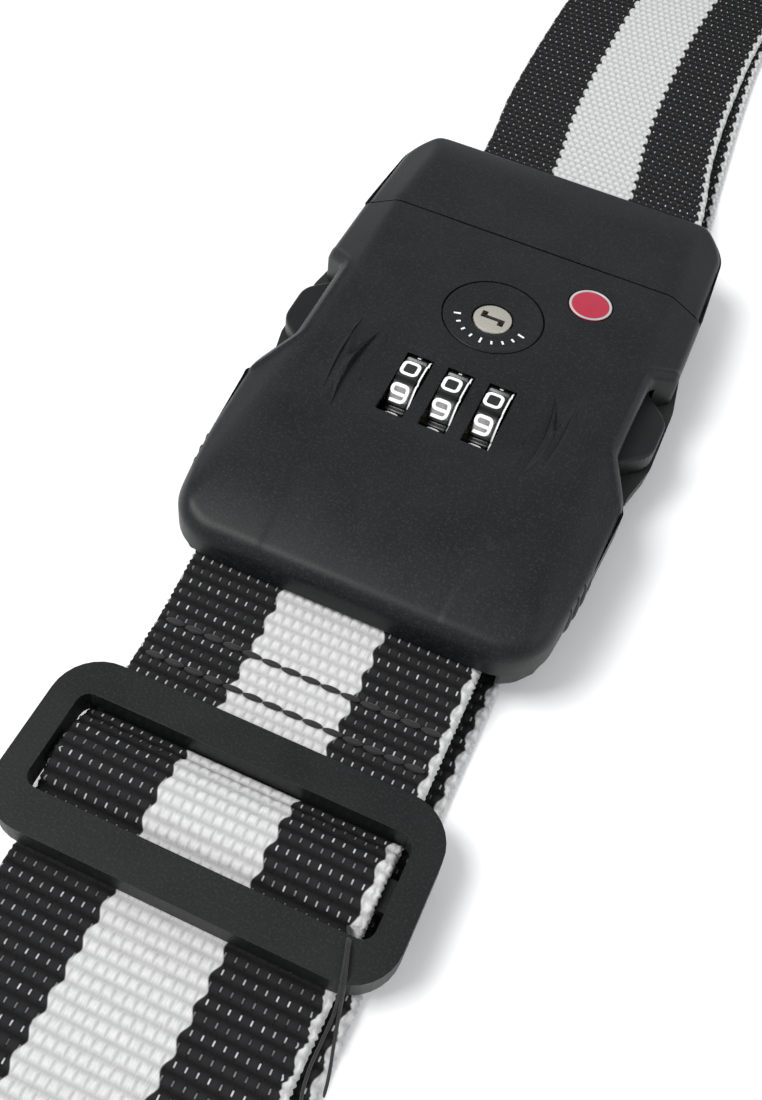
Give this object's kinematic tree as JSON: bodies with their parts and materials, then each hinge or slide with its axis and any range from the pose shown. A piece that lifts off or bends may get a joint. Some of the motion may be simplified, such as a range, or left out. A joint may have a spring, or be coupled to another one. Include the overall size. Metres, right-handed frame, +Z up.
{
  "type": "luggage strap",
  "caption": "Striped luggage strap with a combination and key side-release buckle and a sliding adjuster, its spare length rolled and tied",
  "frame": {"origin": "on the floor under the middle of the buckle, on the underside of the webbing that runs beneath it", "axes": "+X across the strap, +Y along the strap from the housing towards the plug head, +Z up out of the dial face"},
  "size_m": [0.0726, 0.3901, 0.0552],
  "materials": {
    "cover_plastic": "fine matte texture, charcoal black",
    "pad_plastic": "matte charcoal black",
    "back_shell_plastic": "matte dark olive grey",
    "slider_plastic": "matte charcoal black",
    "dial_plastic": "glossy black with white figures",
    "brass": "plain turned brass",
    "nickel": "warm satin nickel",
    "steel": "plain steel",
    "red_enamel": "glossy red with a pale rim",
    "striped_webbing": "woven, black edges and a white middle stripe",
    "tie_elastic": "black woven elastic"
  },
  "bodies": {
    "case": {"front_cover": "cover_plastic", "back_cover": "back_shell_plastic", "key_surround": "cover_plastic", "key_barrel": "brass", "indicator_inlay": "red_enamel", "case_screw_1": "steel", "case_screw_2": "steel", "case_screw_3": "steel", "case_screw_4": "steel", "dial_spindle": "steel", "click_spring": "steel", "lock_bar_spring": "steel", "housing_strap_bar": "steel", "webbing_sewn_end": "striped_webbing", "webbing_lower_and_return": "striped_webbing"},
    "dial_1": {"dial_wheel_1": "dial_plastic", "cam_sleeve_1": "brass"},
    "dial_2": {"dial_wheel_2": "dial_plastic", "cam_sleeve_2": "brass"},
    "dial_3": {"dial_wheel_3": "dial_plastic", "cam_sleeve_3": "brass"},
    "key": {"key_plug": "nickel", "key_cam": "brass"},
    "lock_bar": {"lock_bar": "steel"},
    "reset_button": {"reset_button": "nickel"},
    "head": {"head_front_cover": "cover_plastic", "head_back_cover": "back_shell_plastic", "head_screw_1": "steel", "head_screw_2": "steel", "head_strap_bar": "steel", "plug_tongue": "pad_plastic", "webbing_upper_run": "striped_webbing", "webbing_far_run": "striped_webbing", "webbing_roll": "striped_webbing", "roll_tie": "tie_elastic"},
    "prong_left": {"prong_left": "pad_plastic"},
    "prong_right": {"prong_right": "pad_plastic"},
    "slider": {"slider_frame": "slider_plastic", "webbing_in_slider": "striped_webbing"}
  },
  "joints": [
    {"name": "dial_1_turn", "type": "hinge", "parent": "case", "child": "dial_1", "pos_m": [-0.00776, -0.0102, 0.0115], "axis": [1, 0, 0], "continuous": true},
    {"name": "dial_2_turn", "type": "hinge", "parent": "case", "child": "dial_2", "pos_m": [0, -0.0102, 0.0115], "axis": [1, 0, 0], "continuous": true},
    {"name": "dial_3_turn", "type": "hinge", "parent": "case", "child": "dial_3", "pos_m": [0.00776, -0.0102, 0.0115], "axis": [1, 0, 0], "continuous": true},
    {"name": "key_turn", "type": "hinge", "parent": "case", "child": "key", "pos_m": [0, 0.0093, 0.0098], "axis": [0, 0, 1], "range_deg": [-90, 0]},
    {"name": "lock_bar_slide", "type": "slide", "parent": "case", "child": "lock_bar", "axis": [0, 1, 0], "range_m": [0, 0.004], "deforming": ["lock_bar_spring"]},
    {"name": "reset_press", "type": "slide", "parent": "case", "child": "reset_button", "axis": [0, 0, 1], "range_m": [0, 0.0008], "stiffness_N_per_m": 200},
    {"name": "head_slide", "type": "slide", "parent": "case", "child": "head", "axis": [0, 1, 0], "range_m": [0, 0.042], "deforming": ["prong_left", "prong_right"]},
    {"name": "prong_left_press", "type": "hinge", "parent": "head", "child": "prong_left", "pos_m": [-0.027, 0.034, 0.0102], "axis": [0, 0, 1], "range_deg": [0, 6], "stiffness_Nm_per_rad": 0.6},
    {"name": "prong_right_press", "type": "hinge", "parent": "head", "child": "prong_right", "pos_m": [0.027, 0.034, 0.0102], "axis": [0, 0, 1], "range_deg": [-6, 0], "stiffness_Nm_per_rad": 0.6},
    {"name": "slider_slide", "type": "slide", "parent": "case", "child": "slider", "axis": [0, 1, 0], "range_m": [-0.03, 0], "deforming": ["webbing_in_slider"]}
  ],
  "couplings": [
    {"joint": "key_turn", "follows": "lock_bar_slide", "rad_per_m": -392.7}
  ]
}
